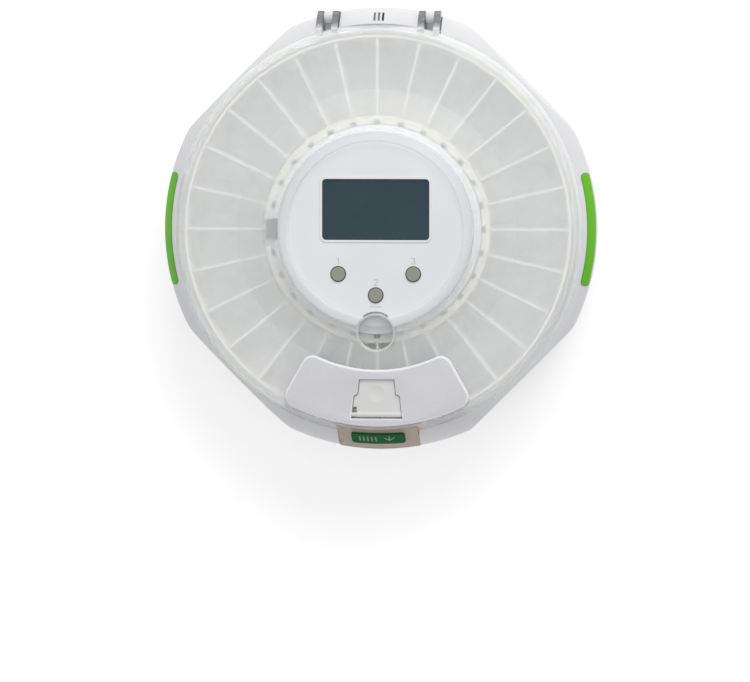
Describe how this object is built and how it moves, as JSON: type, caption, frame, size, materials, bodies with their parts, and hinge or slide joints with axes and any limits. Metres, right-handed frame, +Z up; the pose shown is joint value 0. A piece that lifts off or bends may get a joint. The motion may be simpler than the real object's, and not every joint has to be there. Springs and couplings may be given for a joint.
{
  "type": "automatic pill dispenser",
  "caption": "Round pill dispenser with a turning wedge-compartment tray, hinged see-through lid, flap outlet, front latch and a hub with display and keys.",
  "frame": {"origin": "middle of the footprint on the surface that the feet stand on", "axes": "+Z up, +Y towards the lid's hinges, -Y towards the outlet and the latch, +X to the right of someone who reads the display"},
  "size_m": [0.216, 0.2206, 0.0525],
  "materials": {
    "shell_white": "satin moulded plastic",
    "trim_green": "soft-touch plastic",
    "well_white": "moulded plastic",
    "underside_grey": "fine textured plastic",
    "foot_rubber": "matt rubber",
    "screw_steel": "zinc plated",
    "cell_wrap": "plain printed sleeve",
    "contact_metal": "nickel plated",
    "hub_white": "moulded plastic",
    "panel_white": "satin moulded plastic",
    "display_lens": "polished dark plastic",
    "display_body": "dark glass and frame",
    "board_green": "solder resist",
    "membrane_rubber": "silicone rubber",
    "key_grey": "satin plastic",
    "inner_black": "moulded plastic",
    "catch_grey": "moulded plastic",
    "motor_metal": "plated case",
    "shaft_steel": "ground steel",
    "gear_acetal": "natural acetal",
    "tray_cream": "translucent cream plastic",
    "lid_clear": "lightly frosted see-through plastic",
    "collar_white": "satin moulded plastic",
    "window_clear": "clear plastic",
    "bezel_white": "satin plastic",
    "plate_lilac": "satin plastic",
    "flap_grey": "satin plastic",
    "tongue_clear": "smoky see-through plastic",
    "pad_green": "soft rubber"
  },
  "bodies": {
    "base": {"outer_shell": "shell_white", "trim_strip_left": "trim_green", "trim_strip_right": "trim_green", "tray_well": "well_white", "bottom_cover": "underside_grey", "rubber_feet": "foot_rubber", "case_screws": "screw_steel", "battery_cells": "cell_wrap", "battery_contacts": "contact_metal", "hub_housing": "hub_white", "board_screws": "screw_steel", "control_panel": "panel_white", "display_window": "display_lens", "display_module": "display_body", "circuit_board": "board_green", "button_membrane": "membrane_rubber", "buzzer": "inner_black", "index_sensor": "inner_black", "gear_motor": "motor_metal", "hinge_pins": "shaft_steel"},
    "door": {"battery_door": "underside_grey"},
    "key_left": {"button_left": "key_grey"},
    "key_middle": {"button_middle": "key_grey"},
    "key_right": {"button_right": "key_grey"},
    "catch": {"tray_catch": "catch_grey"},
    "pinion": {"output_shaft": "shaft_steel", "drive_pinion": "gear_acetal"},
    "tray": {"turntable": "gear_acetal", "tray_floor": "tray_cream", "tray_outer_wall": "tray_cream", "tray_inner_wall": "tray_cream", "tray_dividers": "tray_cream"},
    "lid": {"lid": "lid_clear", "lid_collar": "collar_white", "view_window": "window_clear", "window_bezel": "bezel_white", "outlet_plate": "plate_lilac"},
    "flap": {"outlet_flap": "flap_grey"},
    "latch": {"latch_tongue": "tongue_clear", "press_pad": "pad_green"}
  },
  "joints": [
    {"name": "lid_hinge", "type": "hinge", "parent": "base", "child": "lid", "pos_m": [0, 0.1053, 0.032], "axis": [-1, 0, 0], "range_deg": [0, 100]},
    {"name": "tray_spin", "type": "hinge", "parent": "base", "child": "tray", "pos_m": [0, 0, 0.02], "axis": [0, 0, 1], "continuous": true},
    {"name": "pinion_spin", "type": "hinge", "parent": "base", "child": "pinion", "pos_m": [0.04, 0, 0.0215], "axis": [0, 0, 1], "continuous": true},
    {"name": "button_left_press", "type": "slide", "parent": "base", "child": "key_left", "axis": [0, 0, -1], "range_m": [0, 0.0008], "stiffness_N_per_m": 300},
    {"name": "button_middle_press", "type": "slide", "parent": "base", "child": "key_middle", "axis": [0, 0, -1], "range_m": [0, 0.0008], "stiffness_N_per_m": 300},
    {"name": "button_right_press", "type": "slide", "parent": "base", "child": "key_right", "axis": [0, 0, -1], "range_m": [0, 0.0008], "stiffness_N_per_m": 300},
    {"name": "catch_slide", "type": "slide", "parent": "base", "child": "catch", "axis": [1, 0, 0], "range_m": [0, 0.0044], "stiffness_N_per_m": 150},
    {"name": "battery_door_lift", "type": "slide", "parent": "base", "child": "door", "axis": [0, 0, -1], "range_m": [0, 0.025]},
    {"name": "flap_hinge", "type": "hinge", "parent": "lid", "child": "flap", "pos_m": [0, -0.092, 0.0444], "axis": [1, 0, 0], "range_deg": [0, 100]},
    {"name": "latch_press", "type": "hinge", "parent": "lid", "child": "latch", "pos_m": [0, -0.0962, 0.0429], "axis": [1, 0, 0], "range_deg": [0, 3.5], "stiffness_Nm_per_rad": 1.5}
  ],
  "couplings": [
    {"joint": "pinion_spin", "follows": "tray_spin", "ratio": 5}
  ]
}
